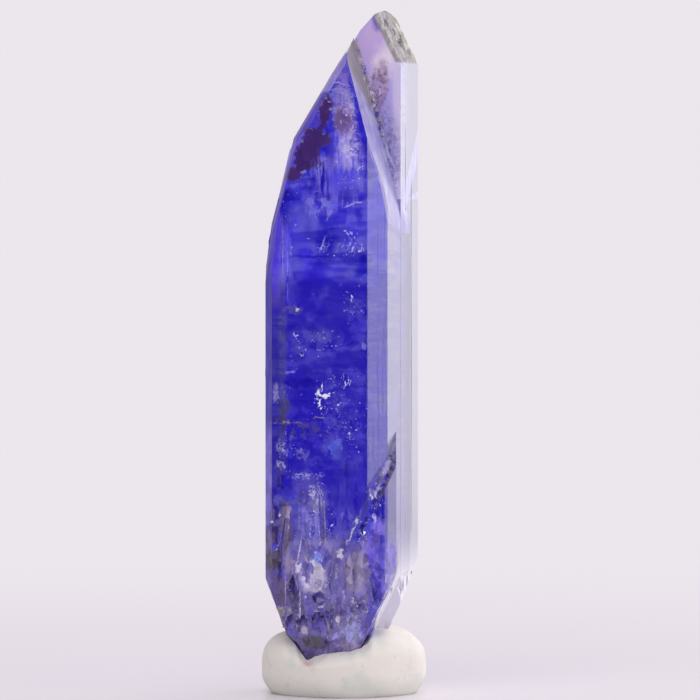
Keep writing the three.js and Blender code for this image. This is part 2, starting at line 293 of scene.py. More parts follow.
def tiny_plates(clouds, seed):
    """Swarms of tiny flat plates that face the front. A cloud is its centre, its reach along X, Y and Z, its
    count and its plate size, in mm."""
    rng = random.Random(seed)
    swarm = bmesh.new()
    for centre, reach, count, size in clouds:
        patch = bmesh.new()
        placed = 0
        tries = 0
        while placed < count and tries < count * 8:
            tries += 1
            place = Vector([c + r * rng.gauss(0, 0.45) for c, r in zip(centre, reach)])
            if noise.noise(place * 2.2) + noise.noise(place * 5.0) * 0.6 < rng.uniform(-0.35, 0.3):
                continue
            placed += 1
            span = size * math.exp(rng.gauss(-0.6, 0.5))
            ahead = facing(PLATES_FACE + rng.gauss(-5, 7), rng.gauss(12, 7))
            turn = ahead.to_track_quat("Z", "Y").to_matrix() @ Matrix.Rotation(rng.uniform(0, 6.28), 3, "Z")
            shape = Matrix.Diagonal((span, span * rng.uniform(0.25, 1), span * 0.1)).to_3x3()
            spread = Matrix.Translation(place * MM) @ (turn @ shape).to_4x4() @ Matrix.Scale(MM, 4)
            bmesh.ops.create_uvsphere(patch, u_segments=4, v_segments=2, radius=0.5, matrix=spread)
        chunk = new_mesh(patch, "chunk")
        swarm.from_mesh(chunk)
        bpy.data.meshes.remove(chunk)
    return swarm


# ---- materials ----
class Skin:
    """A surface finish that is built up zone by zone: its colour, how clear it is, and its roughness."""

    def __init__(self, tree, colour, clear, rough):
        self.tree = tree
        place = add(tree, "TexCoord").outputs["Object"]
        self.mm = add(tree, "VectorMath", {0: place, 1: (1 / MM,) * 3}, operation="MULTIPLY").outputs[0]
        self.right, self.depth, self.height = add(tree, "SeparateXYZ", {0: self.mm}).outputs
        # the outlines that a zone can have: positions that are pushed about more or less finely
        snapped = add(tree, "VectorMath", {0: self.torn(1.1, 0.5), 1: (0.2, 0.05, 0.14)}, operation="SNAP")
        self.outline = {"soft": self.torn(0.6, 0.8),
                        "torn": self.torn(1.8, 0.5),
                        "crumbly": self.torn(5.0, 0.26),
                        "plain": self.torn(7.0, 0.08),
                        "blocky": snapped.outputs[0]}
        # the grains that can fill a zone
        crumb = add(tree, "TexVoronoi", {"Vector": self.torn(6.0, 0.2), "Scale": 5.0})
        patchy = add(tree, "SeparateColor", {0: crumb.outputs["Color"]}).outputs[1]
        self.grain = {"solid": 1.0,
                      "whole": self.mask((patchy, 0.0, 1.0, 0.62, 1.0)),
                      "fibres": self.mask((self.texture(4.5, 3.0, (1, 1, 0.13))[0], 0.42, 0.6)),
                      "crumbs": self.cells(3.2, (1, 1, 0.6), 0.45),
                      "grains": self.cells(7.0, (1, 1, 0.8), 0.6),
                      "shards": self.cells(2.2, (1, 1, 0.4), 0.5)}
        self.colour = srgb(colour)
        self.clear = clear
        self.rough = rough

    def mask(self, *parts):
        """The parts multiplied together. A part is a number, a socket or a fade. The fade (socket, low, high)
        is 0 where the socket says low and 1 where it says high. Two more numbers replace that 0 and 1."""
        result = None
        for part in parts:
            if isinstance(part, tuple):
                part = add(self.tree, "MapRange", dict(enumerate(part)),
                           interpolation_type="SMOOTHSTEP").outputs[0]
            if result is not None:
                part = add(self.tree, "Math", {0: result, 1: part}, operation="MULTIPLY").outputs[0]
            result = part
        return result

    def texture(self, scale, detail=4.0, stretch=(1, 1, 1), offset=(0, 0, 0), rough=0.55):
        """Noise with the given features per mm, first grey and then coloured."""
        place = add(self.tree, "Mapping", {0: self.mm, 1: offset, 3: stretch}).outputs[0]
        return add(self.tree, "TexNoise", {"Vector": place, "Scale": scale, "Detail": detail,
                                           "Roughness": rough}).outputs

    def torn(self, scale, amount):
        """Positions pushed about by noise, which tears the outline of a zone."""
        push = add(self.tree, "VectorMath", {0: self.texture(scale)[1], 1: (0.5, 0.5, 0.5)},
                   operation="SUBTRACT").outputs[0]
        push = add(self.tree, "VectorMath", {0: push, 1: (amount * 2,) * 3},
                   operation="MULTIPLY").outputs[0]
        return add(self.tree, "VectorMath", {0: self.mm, 1: push}, operation="ADD").outputs[0]

    def cells(self, scale, stretch, share):
        """Angular crumbs: 1 inside a share of them, more or less faint in the others."""
        place = add(self.tree, "Mapping", {0: self.torn(scale, 0.25), 3: stretch}).outputs[0]
        crumb = add(self.tree, "TexVoronoi", {"Vector": place, "Scale": scale}).outputs["Color"]
        value = add(self.tree, "SeparateColor", {0: crumb}).outputs[0]
        return self.mask((value, share - 0.35, share + 0.25))

    def facets(self, scale, stretch):
        """Flat chips of random tilt. Gives their height in mm, for a bump, and a random brightness for each,
        for painted light and shade.
        """
        place = add(self.tree, "Mapping", {0: self.torn(scale, 0.12), 3: stretch}).outputs[0]
        cell = add(self.tree, "TexVoronoi", {"Vector": place, "Scale": scale})
        away = add(self.tree, "VectorMath", {0: place, 1: cell.outputs["Position"]},
                   operation="SUBTRACT").outputs[0]
        tilt = add(self.tree, "VectorMath", {0: cell.outputs["Color"], 1: (0.5, 0.5, 0.5)},
                   operation="SUBTRACT").outputs[0]
        height = add(self.tree, "VectorMath", {0: away, 1: tilt}, operation="DOT_PRODUCT")
        shade = add(self.tree, "SeparateColor", {0: cell.outputs["Color"]})
        return height.outputs["Value"], shade.outputs[2]

    def painted_glints(self, density):
        """Painted glints: short bright strokes, and specks of two sizes, with the given chance in each place.
        """
        ridge = self.texture(2.2, 3.0, (1, 1, 0.6), (0, 0, 11), rough=0.6)[0]
        ridge = add(self.tree, "Math", {0: ridge, 1: 0.5}, operation="SUBTRACT").outputs[0]
        ridge = add(self.tree, "Math", {0: ridge}, operation="ABSOLUTE").outputs[0]
        glint = 0.0
        for scale, share, stroke in ((2.4, 0.5, True), (6.5, 0.8, False), (11.0, 1.3, False)):
            cell = add(self.tree, "TexVoronoi", {"Vector": self.outline["crumbly"], "Scale": scale})
            size, chance, bright = add(self.tree, "SeparateColor", {0: cell.outputs["Color"]}).outputs
            lit = add(self.tree, "Math", {0: chance, 1: self.mask(density, share)},
                      operation="ADD").outputs[0]
            lit = add(self.tree, "Math", {0: lit, 1: 1.0}, operation="GREATER_THAN").outputs[0]
            if stroke:
                shape = self.mask((ridge, 0.035, 0.01))
            else:
                reach = self.mask((size, 0.3, 1.0, 0.10, 0.36))
                shape = add(self.tree, "Math", {0: cell.outputs["Distance"], 1: reach},
                            operation="LESS_THAN").outputs[0]
            spark = self.mask(lit, shape, (bright, 0.0, 1.0, 0.15, 1.0))
            glint = add(self.tree, "Math", {0: glint, 1: spark}, operation="MAXIMUM").outputs[0]
        return glint

    def zone(self, centre, reach, edge, soft=0.3, lean=0.0, strength=1.0):
        """A lump of space round centre, in mm, with a reach along X, Y and Z. Lean tips it about Y."""
        place = self.outline[edge]
        if lean:
            place = add(self.tree, "VectorRotate",
                        {0: place, 1: centre, 2: (0, 1, 0), 3: math.radians(lean)}).outputs[0]
        share = [1 / size for size in reach]
        start = [-c * part for c, part in zip(centre, share)]
        away = add(self.tree, "VectorMath", {0: place, 1: share, 2: start},
                   operation="MULTIPLY_ADD").outputs[0]
        length = add(self.tree, "VectorMath", {0: away}, operation="LENGTH").outputs["Value"]
        return self.mask((length, 1 + soft, 1 - soft, 0.0, strength))

    def on_face(self, face, above, tolerance=0.12, turn=0.75):
        """1 on a flat face of the crystal, where it is higher than above. Turn is the least cosine between
        the surface and that face."""
        azimuth, slope, through = face
        normal = facing(azimuth, slope)
        reach = add(self.tree, "VectorMath", {0: self.mm, 1: normal}, operation="DOT_PRODUCT")
        off = add(self.tree, "Math", {0: reach.outputs["Value"], 1: normal.dot(Vector(through))},
                  operation="SUBTRACT").outputs[0]
        off = add(self.tree, "Math", {0: off}, operation="ABSOLUTE").outputs[0]
        upon = add(self.tree, "TexCoord").outputs["Normal"]
        same_way = add(self.tree, "VectorMath", {0: upon, 1: normal}, operation="DOT_PRODUCT")
        return self.mask((off, tolerance, tolerance * 0.6), (self.height, above, above + 0.1),
                         (same_way.outputs["Value"], turn, turn + 0.1))

    def lay(self, mask, colour=None, clear=None, rough=None, blend="MIX"):
        """Lays a finish over what is there, where mask is above 0. The colour is a hex value or a socket."""
        if colour is not None:
            over = srgb(colour) if isinstance(colour, str) else colour
            self.colour = add(self.tree, "Mix", {0: mask, 6: self.colour, 7: over}, data_type="RGBA",
                              blend_type=blend).outputs[2]
        if clear is not None:
            self.clear = add(self.tree, "Mix", {0: mask, 2: self.clear, 3: clear}).outputs[0]
        if rough is not None:
            self.rough = add(self.tree, "Mix", {0: mask, 2: self.rough, 3: rough}).outputs[0]

    def lay_marks(self, marks, only=None):
        """Lays rows of marks. Only keeps them to a mask."""
        there = {kind: mask if only is None else self.mask(mask, only) for kind, mask in self.grain.items()}
        for x, z, wide, high, edge, soft, lean, grain, strength, colour, clear in marks:
            mark = self.zone((x, FRONT_Y, z), (wide, 2, high), edge, soft, lean, strength)
            self.lay(self.mask(mark, there[grain]), colour, clear)


# clouds, stains and healed cracks just under the front face: middle x and z, half width and half height in
# mm, outline, softness, lean in degrees, grain, strength, colour, clearness
FRONT_MARKS = [
    # mauve patches below the left shoulder
    (-1.18, 34.0, 0.34, 1.1, "blocky", 0.08, -14, "solid", 1.0, "4C3070", 0.05),
    (-1.9, 32.5, 0.75, 0.65, "blocky", 0.08, -10, "solid", 1.0, "482E70", 0.05),
    (-2.3, 31.4, 0.8, 0.9, "blocky", 0.08, -15, "solid", 1.0, "462C70", 0.05),
    (-3.05, 30.4, 0.55, 0.42, "blocky", 0.08, -10, "solid", 1.0, "4A3074", 0.05),
    (-1.12, 31.05, 0.5, 0.28, "blocky", 0.08, 0, "solid", 1.0, "44305E", 0.05),
    (-1.12, 32.4, 0.35, 0.3, "blocky", 0.08, 0, "solid", 1.0, "46306A", 0.05),
    (-1.85, 33.6, 0.4, 0.8, "torn", 0.3, -20, "crumbs", 0.7, "6048C8", 0.35),
    (-0.25, 36.4, 0.6, 1.5, "crumbly", 0.4, 14, "crumbs", 0.8, "9484D4", 0.1),
    (-2.3, 29.6, 0.6, 0.6, "torn", 0.4, 0, "shards", 0.6, "5A44D8", 0.45),
    (-0.95, 30.3, 0.75, 1.1, "torn", 0.5, 12, "fibres", 0.85, "8C80FF", 0.2),
    (-2.75, 32.6, 0.35, 1.1, "torn", 0.3, -24, "crumbs", 0.85, "7458E8", 0.2),
    # sparkling lavender cloud beside them
    (0.05, 33.8, 0.62, 1.9, "crumbly", 0.35, 6, "whole", 0.75, "A084D0", 0.25),
    (0.15, 33.6, 0.55, 1.6, "crumbly", 0.3, 6, "grains", 0.85, "CCB8E8", 0.1),
    (-0.05, 33.6, 0.5, 0.9, "crumbly", 0.25, 0, "crumbs", 0.85, "7C5C84", 0.2),
    (-0.25, 34.9, 0.55, 0.35, "torn", 0.3, 0, "fibres", 0.8, "8478D8", 0.35),
    (-0.15, 35.75, 0.45, 0.05, "soft", 0.3, -6, "whole", 0.8, "C4C0F0", 0.15),
    (-0.3, 35.35, 0.6, 0.04, "soft", 0.3, 3, "whole", 0.7, "B4B0EC", 0.15),
    (0.2, 31.1, 1.0, 1.7, "torn", 0.5, 8, "whole", 0.6, "7A70FF", 0.45),
    (0.25, 31.6, 0.8, 1.3, "torn", 0.5, 8, "fibres", 0.8, "C4BAFF", 0.2),
    (0.3, 32.1, 0.5, 0.8, "torn", 0.4, 0, "grains", 0.8, "DCD2F8", 0.15),
    (0.0, 30.2, 0.9, 0.6, "torn", 0.4, 10, "shards", 0.7, "6C64FF", 0.45),
    # bright windows in the violet-blue upper part
    (-1.55, 28.6, 0.65, 0.85, "blocky", 0.2, 10, "crumbs", 0.9, "8080FF", 0.25),
    (-0.1, 28.9, 0.9, 0.6, "torn", 0.4, 15, "fibres", 0.7, "7068FF", 0.35),
    (0.47, 28.75, 0.5, 0.05, "soft", 0.3, 6, "whole", 0.8, "BEB6FF", 0.2),
    (-3.4, 25.4, 0.42, 2.3, "soft", 0.4, 0, "fibres", 0.9, "8276FF", 0.35),
    (-1.9, 25.75, 1.4, 0.07, "soft", 0.3, -3, "whole", 0.8, "6A5EA8", 1.0),
    (-1.7, 24.7, 0.8, 0.9, "soft", 0.5, 0, "whole", 0.7, "9478E0", 1.0),
    (0.4, 26.3, 0.7, 0.8, "torn", 0.4, 0, "crumbs", 0.65, "5450E4", 0.55),
    (0.55, 25.6, 0.7, 0.5, "torn", 0.4, 0, "whole", 0.6, "8A80B8", 1.0),
    (-3.0, 22.6, 0.55, 0.25, "crumbly", 0.3, 0, "crumbs", 0.85, "6A6894", 0.35),
    # deep middle with dark bands across
    (-2.4, 23.9, 1.3, 0.6, "soft", 0.5, 0, "whole", 0.6, "A89CC8", 1.0),
    (-2.0, 21.6, 1.6, 0.3, "soft", 0.4, 0, "whole", 0.6, "8C80B4", 1.0),
    (0.85, 21.7, 0.5, 1.6, "torn", 0.5, 0, "grains", 0.55, "5450E4", 0.55),
    (-1.6, 20.6, 1.4, 0.9, "torn", 0.5, 0, "crumbs", 0.55, "4A46E0", 0.55),
    (-2.5, 18.35, 1.1, 0.24, "torn", 0.3, 0, "whole", 0.9, "6A5AA0", 1.0),
    (-3.95, 17.7, 0.18, 0.6, "crumbly", 0.3, 0, "grains", 0.85, "ACA4E4", 0.2),
    (-3.6, 16.75, 0.4, 0.95, "torn", 0.25, 0, "crumbs", 0.9, "54505E", 0.35),
    (-2.5, 15.6, 1.1, 0.5, "torn", 0.5, 0, "crumbs", 0.75, "54506C", 0.45),
    (-3.4, 16.05, 0.9, 0.08, "crumbly", 0.3, 0, "grains", 0.85, "A8A29C", 0.2),
    (-1.47, 16.3, 0.32, 0.05, "soft", 0.3, 0, "whole", 0.8, "A89A78", 0.2),
    (0.0, 16.3, 1.2, 1.2, "torn", 0.5, 0, "grains", 0.45, "524EDC", 0.55),
    (-0.6, 14.6, 0.6, 0.55, "crumbly", 0.4, 0, "crumbs", 0.8, "6480F8", 0.4),
    (-3.6, 14.6, 0.35, 0.5, "crumbly", 0.3, 0, "grains", 0.85, "ACAAE8", 0.2),
    (-2.4, 14.2, 0.4, 0.35, "crumbly", 0.3, 0, "grains", 0.75, "9490E0", 0.3),
    # a painted glint
    (-3.66, 13.6, 0.26, 0.24, "torn", 0.4, 0, "grains", 0.9, "C8C8F8", 0.1),
    (-3.65, 12.6, 0.3, 0.4, "soft", 0.4, 0, "whole", 0.9, "9880FF", 1.0),
    (0.4, 11.6, 0.9, 2.2, "torn", 0.5, 0, "fibres", 0.6, "4038C8", 0.65),
    # clouds low on the left
    (-2.1, 10.9, 1.05, 2.0, "torn", 0.3, 0, "whole", 0.75, "7470C4", 0.35),
    (-2.4, 11.7, 0.35, 0.5, "torn", 0.3, 0, "shards", 0.8, "5C5498", 0.45),
    (-1.6, 11.2, 0.3, 0.6, "torn", 0.4, 0, "crumbs", 0.8, "9894BC", 0.2),
    (-2.2, 10.0, 0.9, 1.0, "torn", 0.4, 0, "fibres", 0.6, "A09CE8", 0.3),
    (-1.12, 10.2, 0.05, 1.35, "plain", 0.2, 2, "whole", 0.85, "9A9080", 0.2),
    (-1.2, 10.2, 0.05, 1.2, "plain", 0.2, 2, "whole", 0.85, "3A3060", 0.5),
    (0.1, 9.6, 0.8, 1.3, "torn", 0.5, 0, "fibres", 0.7, "7470E4", 0.4),
    (-3.4, 9.9, 0.34, 1.5, "torn", 0.25, 0, "whole", 0.9, "705C62", 0.2),
    (-3.25, 10.6, 0.16, 0.5, "torn", 0.3, 0, "grains", 0.9, "B4A4B4", 0.15),
    (-4.0, 10.2, 0.4, 1.2, "torn", 0.3, 0, "crumbs", 0.85, "564680", 0.35),
    (-4.0, 8.05, 0.48, 0.5, "torn", 0.18, 0, "whole", 0.92, "4A3C40", 0.15),
    (-3.15, 7.8, 0.26, 0.5, "torn", 0.3, 0, "whole", 0.85, "A08CA0", 0.2),
    (-1.35, 8.3, 0.45, 0.6, "torn", 0.4, 0, "whole", 0.7, "5648E0", 0.5),
    (-1.7, 7.2, 0.8, 1.1, "crumbly", 0.3, 0, "shards", 0.9, "DCD6EC", 0.05),
    (-1.6, 6.8, 0.6, 0.5, "crumbly", 0.3, 0, "grains", 0.9, "A8A2CC", 0.2),
    (-2.1, 6.9, 0.16, 0.05, "torn", 0.2, 40, "whole", 0.85, "6A5430", 0.2),
    (-1.64, 8.18, 0.32, 0.34, "soft", 0.4, 0, "whole", 0.8, "5C88FF", 0.3),
    (-1.66, 8.3, 0.11, 0.08, "soft", 0.4, 0, "whole", 0.95, "F878D8", 0.1),
    # the foot: splinters, ridges and lumps
    (-3.85, 6.4, 0.36, 1.05, "torn", 0.2, 6, "whole", 0.9, "604A5C", 0.2),
    (-2.9, 6.0, 0.3, 1.1, "torn", 0.1, 6, "whole", 0.92, "3E2A66", 0.35),
    (-2.42, 5.3, 0.1, 0.95, "torn", 0.2, 0, "whole", 0.9, "524C64", 0.25),
    (-1.5, 5.8, 0.42, 0.42, "torn", 0.15, 0, "whole", 0.92, "30208C", 0.7),
    (-1.6, 4.6, 0.65, 0.9, "torn", 0.3, 0, "shards", 0.8, "6450C8", 0.4),
    (0.75, 7.3, 0.8, 1.3, "torn", 0.25, 0, "whole", 0.85, "9C90B0", 0.15),
    (0.75, 7.3, 0.8, 1.3, "torn", 0.25, 0, "fibres", 0.6, "A498A8", 0.2),
    (0.1, 5.6, 0.5, 0.8, "torn", 0.4, 0, "fibres", 0.8, "8878C0", 0.3),
    (0.45, 3.9, 0.55, 0.9, "torn", 0.4, 0, "whole", 0.95, "B4B4EC", 0.1),
    (0.45, 3.9, 0.45, 0.8, "torn", 0.4, 0, "fibres", 0.5, "8C8CE0", 0.2),
    (0.35, 2.85, 0.8, 0.35, "torn", 0.4, 0, "whole", 0.9, "B8A4D4", 0.1),
    (1.3, 4.3, 0.3, 0.9, "torn", 0.3, -12, "whole", 0.8, "6C54D0", 0.4),
    (-0.65, 3.5, 0.45, 0.2, "crumbly", 0.3, 0, "grains", 0.9, "A8A0FF", 0.1),
    (-1.75, 3.15, 0.85, 0.48, "crumbly", 0.3, 0, "shards", 0.95, "3C363E", 0.1),
    (-1.3, 3.1, 0.6, 0.4, "crumbly", 0.3, 0, "grains", 0.8, "5A5260", 0.1),
    (-3.0, 3.7, 0.35, 0.6, "torn", 0.3, 25, "whole", 0.8, "7060D4", 0.35),
    (-2.1, 2.4, 0.5, 0.35, "torn", 0.3, 0, "whole", 0.85, "5A40A0", 0.45),
    # the plate on the right: its blue facet, its edge grains and its dark tip
    (1.95, 7.6, 0.45, 1.6, "torn", 0.3, 0, "crumbs", 0.85, "5A48D8", 0.4),
    (2.05, 6.4, 0.2, 0.9, "torn", 0.15, -12, "whole", 0.8, "3A28B0", 0.7),
    (1.7, 9.3, 0.45, 1.2, "torn", 0.3, -20, "crumbs", 0.85, "8870E0", 0.2),
    (2.7, 8.0, 0.28, 3.2, "soft", 0.25, -6, "whole", 0.8, "9484F0", 0.3),
    (1.25, 10.3, 0.36, 1.5, "torn", 0.12, -24, "whole", 0.92, "4034F0", 0.6),
    (2.35, 11.4, 0.55, 1.0, "soft", 0.08, 0, "whole", 0.8, "3426B0", 0.7),
    (2.28, 11.4, 0.46, 0.88, "soft", 0.08, 0, "fibres", 0.85, "9C90E4", 0.3),
    (2.6, 13.2, 0.42, 1.7, "crumbly", 0.2, -22, "whole", 0.8, "6A5CA8", 0.35),
    (2.6, 13.2, 0.42, 1.7, "crumbly", 0.2, -22, "grains", 0.9, "3C3068", 0.35),
    (2.35, 13.1, 0.2, 1.3, "crumbly", 0.2, -22, "crumbs", 0.6, "C4BEE0", 0.1),
]
# painted highlights on ridges, cracks and strokes, and pale lumps of the stone's own colour, laid last
PAINTED_HIGHLIGHTS_AND_LUMPS = [
    (-2.6, 8.6, 0.04, 0.7, "plain", 0.3, -9, "whole", 0.95, "E8E4FC", 0.0),
    (-2.66, 7.6, 0.2, 0.38, "crumbly", 0.3, 0, "crumbs", 0.95, "E8E4FC", 0.05),
    (-1.4, 7.2, 0.26, 0.34, "crumbly", 0.3, 0, "crumbs", 0.9, "D4D0E6", 0.05),
    (-1.1, 6.7, 0.2, 0.24, "crumbly", 0.3, 0, "grains", 0.9, "DCD8EC", 0.05),
    (-1.44, 10.0, 0.03, 0.6, "plain", 0.2, 0, "whole", 0.9, "C0C0FF", 0.05),
    (-1.85, 12.0, 0.2, 0.4, "crumbly", 0.3, 0, "grains", 0.9, "D0CCEC", 0.05),
    (-2.45, 12.9, 0.6, 0.22, "crumbly", 0.3, 0, "grains", 0.8, "B0B8FF", 0.1),
    (-3.42, 6.3, 0.03, 1.0, "plain", 0.2, 0, "whole", 0.85, "C4B4C4", 0.05),
    (-2.57, 5.35, 0.035, 1.0, "plain", 0.2, 0, "whole", 0.95, "D8D4E4", 0.0),
    (-0.18, 8.4, 0.24, 0.3, "crumbly", 0.3, 0, "crumbs", 0.95, "ECE6F8", 0.0),
    (-0.48, 7.0, 0.06, 0.8, "crumbly", 0.3, -10, "crumbs", 0.9, "C8BCC8", 0.05),
    (-0.52, 5.7, 0.08, 1.0, "crumbly", 0.25, -4, "crumbs", 0.9, "CCBCC8", 0.05),
    (-0.35, 4.5, 0.13, 0.26, "crumbly", 0.3, 0, "whole", 0.95, "F8F0FF", 0.0),
    (-1.38, 5.3, 0.2, 0.07, "crumbly", 0.3, 30, "whole", 0.9, "DCD4EC", 0.05),
    (-0.98, 4.3, 0.03, 0.65, "plain", 0.3, 16, "whole", 0.9, "D0CCF4", 0.05),
    (-2.32, 3.85, 0.22, 0.3, "crumbly", 0.3, 0, "crumbs", 0.92, "D0C0DC", 0.05),
    (-3.25, 10.4, 0.08, 0.6, "crumbly", 0.3, 0, "crumbs", 0.9, "C4B4C0", 0.05),
    (-3.9, 8.85, 0.18, 0.2, "crumbly", 0.3, 0, "crumbs", 0.95, "DCD4E8", 0.05),
    (-3.77, 10.65, 0.07, 0.1, "crumbly", 0.3, 0, "whole", 0.95, "FCFCFF", 0.0),
    (-4.19, 10.26, 0.09, 0.08, "crumbly", 0.3, 0, "whole", 0.95, "F0ECF8", 0.0),
    (1.56, 11.7, 0.3, 0.46, "crumbly", 0.2, -15, "crumbs", 0.95, "DCD8EC", 0.05),
    (1.6, 11.75, 0.09, 0.2, "crumbly", 0.2, 20, "whole", 0.9, "FFFFFF", 0.0),
    (1.05, 11.0, 0.05, 0.6, "crumbly", 0.2, -24, "crumbs", 0.9, "D0C8E4", 0.05),
    (0.78, 10.3, 0.09, 0.22, "crumbly", 0.2, 0, "whole", 0.95, "E4E0F8", 0.0),
    (0.42, 9.5, 0.06, 0.7, "crumbly", 0.2, -26, "crumbs", 0.95, "D4D0EC", 0.05),
    (1.78, 10.5, 0.09, 0.24, "crumbly", 0.2, 10, "whole", 0.92, "E4E0F8", 0.05),
    # above: windows, streaks and short strokes
    (-3.55, 25.6, 0.03, 1.7, "plain", 0.3, 0, "crumbs", 0.8, "A49CFF", 0.15),
    (-3.28, 25.2, 0.04, 2.0, "plain", 0.3, 0, "crumbs", 0.8, "9A90FF", 0.15),
    (-1.22, 26.5, 0.05, 0.45, "crumbly", 0.3, -25, "whole", 0.8, "A8ACFF", 0.1),
    (0.3, 26.3, 0.04, 0.3, "crumbly", 0.3, -25, "whole", 0.9, "B8BCFF", 0.05),
    (0.52, 26.15, 0.05, 0.2, "crumbly", 0.3, -20, "whole", 0.95, "E4E4FF", 0.0),
    (-2.7, 22.6, 0.12, 0.09, "crumbly", 0.3, 0, "whole", 0.95, "E8E4F4", 0.0),
    (0.45, 31.95, 0.07, 0.06, "crumbly", 0.3, 0, "whole", 0.95, "FFFFFF", 0.0),
    (1.15, 20.5, 0.09, 0.22, "crumbly", 0.3, 0, "whole", 0.8, "8CA4FF", 0.15),
    (-3.1, 19.0, 0.3, 0.07, "crumbly", 0.3, 0, "crumbs", 0.85, "9088FF", 0.15),
]
# stains that wrap round the left edge of the foot
EDGE_STAINS = [
    (-4.15, 9.3, 0.6, 1.5, "torn", 0.25, 0, "crumbs", 0.85, "6A5A62", 0.3),
    (-4.2, 7.9, 0.6, 0.6, "torn", 0.15, 0, "whole", 0.85, "52424A", 0.25),
    (-3.6, 5.7, 0.5, 0.9, "torn", 0.3, 0, "crumbs", 0.7, "746088", 0.4),
    (-3.7, 5.0, 0.25, 0.3, "crumbly", 0.3, 0, "crumbs", 0.8, "B4AC84", 0.1),
]
# where painted glints, sparkling specks, crowd under the front face: middle x and z, half width and half
# height, chance
PAINTED_SPARKLE = [
    (0.25, 33.6, 0.6, 1.7, 0.3), (0.3, 30.6, 0.9, 1.2, 0.18), (-1.0, 26.3, 0.35, 0.55, 0.3),
    (0.35, 26.4, 0.7, 0.7, 0.42), (0.6, 23.2, 0.6, 0.9, 0.3), (-1.2, 20.7, 0.8, 0.6, 0.45),
    (-2.6, 20.6, 0.3, 0.6, 0.2), (-0.1, 18.5, 0.6, 0.45, 0.5), (-3.4, 14.5, 0.5, 1.3, 0.2),
    (-1.6, 10.8, 0.8, 1.9, 0.42), (-1.2, 7.0, 1.2, 1.6, 0.22), (-0.6, 3.5, 0.5, 0.4, 0.5),
    (0.4, 15.6, 0.8, 1.2, 0.32), (1.0, 9.5, 0.4, 1.0, 0.15), (-0.8, 17.3, 0.9, 1.1, 0.25),
    (2.2, 12.6, 0.7, 1.5, 0.25), (0.0, 5.5, 0.6, 1.6, 0.15), (-3.2, 28.0, 0.4, 1.6, 0.12),
]
# the bright open crack half way down: middle x and z, half width and half height, lean
OPEN_CRACK = [(-1.02, 17.6, 0.22, 0.12, 8), (-1.3, 17.62, 0.26, 0.06, -12), (-1.5, 17.78, 0.09, 0.2, -20),
              (-1.3, 18.1, 0.025, 0.26, 5), (-1.42, 17.15, 0.05, 0.26, -15), (-1.3, 16.85, 0.12, 0.03, 40),
              (-0.85, 17.75, 0.05, 0.05, 0), (-1.55, 17.4, 0.03, 0.12, 30)]


def growth_zoning(skin):
    """Bright violet-blue above, deeper in the middle, and greyer in the foot, with dull splinters there."""
    fibres, crumbs, grains, shard = (skin.grain[kind] for kind in ("fibres", "crumbs", "grains", "shards"))
    up = add(skin.tree, "SeparateXYZ", {0: skin.outline["soft"]}).outputs[2]
    skin.lay(skin.mask((up, 25.0, 23.4)), "CCC8CC")
    skin.lay(skin.mask((up, 10.5, 8.5)), "D8D2E4", 0.8)
    deep = skin.texture(0.5, 2.0, (1, 1, 1.2))[0]
    skin.lay(skin.mask((deep, 0.45, 0.6), 0.9), "9480C8")
    band = skin.texture(1.3, 2.0, (0.3, 0.3, 1.6), (5, 0, 0))[0]
    skin.lay(skin.mask((band, 0.48, 0.6), 0.8), "8C80C0")
    skin.lay(skin.mask(shard, 0.3), "A090D8")
    haze = skin.mask((skin.texture(0.8, 2.0, (1, 1, 1.3), (0, 7, 0))[0], 0.5, 0.66))
    skin.lay(skin.mask(haze, crumbs, 0.45), "4238FF", 0.65)
    skin.lay(skin.mask(haze, grains, 0.4), "544CFF", 0.55)
    glow = skin.texture(0.5, 1.0, (1.4, 1, 0.5), (3, 2, 0))[0]
    skin.lay(skin.mask((glow, 0.42, 0.6), (up, 24.0, 25.5), 0.7), "4C38FF", 0.55)
    foot = skin.mask((up, 9.6, 8.6))
    skin.lay(skin.mask(foot, 0.6), "8474CC", 0.4)
    skin.lay(skin.mask(foot, shard, 0.6), "A296C0", 0.3)
    skin.lay(skin.mask(foot, crumbs, 0.4), "6450C8", 0.4)


def left_faces(skin, sideways):
    """Darker and more violet than the front, and pale again by the apex. The front is bluer beside them."""
    left = skin.mask((sideways, -0.25, -0.4), (skin.right, 0.2, 0.0))
    skin.lay(left, "5A40B8", 0.25, 0.45)
    skin.lay(skin.mask(left, (skin.height, 27.0, 24.0)), "402C8C", 0.4)
    skin.lay(skin.mask(left, (skin.height, 16.5, 15.0)), "8A7CC0", 0.35)
    skin.lay(skin.mask(left, (skin.height, 35.2, 35.4)), "B4A8E0", 0.3)
    skin.lay(skin.mask(left, skin.grain["fibres"], 0.4), "8070B8")
    beside = skin.mask((skin.right, -3.2, -3.9), (sideways, -0.35, -0.2))
    skin.lay(skin.mask(beside, (skin.height, 23.5, 22.5), 0.85), "2414CC", 0.35)
    window = skin.zone((-3.9, FRONT_Y, 25.6), (0.9, 2, 2.6), "soft")
    skin.lay(skin.mask(beside, window, 0.9), "6048FF", 0.25)


def right_side(skin):
    """Paler and a little rough towards the right, with blue lines down the striated bevel."""
    skin.lay(skin.mask((skin.right, 2.45, 2.6), 0.8), "BCBAD0", 0.3, 0.3)
    skin.lay(skin.mask((skin.right, 3.3, 3.9), 0.95), "9C9AAE", 0.25, 0.3)
    bevel = skin.mask((skin.right, 1.38, 1.42), (skin.right, 2.54, 2.5))
    skin.lay(skin.mask(bevel, 0.6), "7468FF", 0.4)
    cloud = skin.texture(1.1, 2.0, (0.2, 0.2, 1.3), (9, 0, 0))[0]
    skin.lay(skin.mask(bevel, (cloud, 0.45, 0.65), 0.5), "5C50E8")
    line = skin.texture(5.0, 2.0, (1, 1, 0.04), (2, 0, 0))[0]
    skin.lay(skin.mask(bevel, (line, 0.56, 0.64), 0.55), "3C34B8")


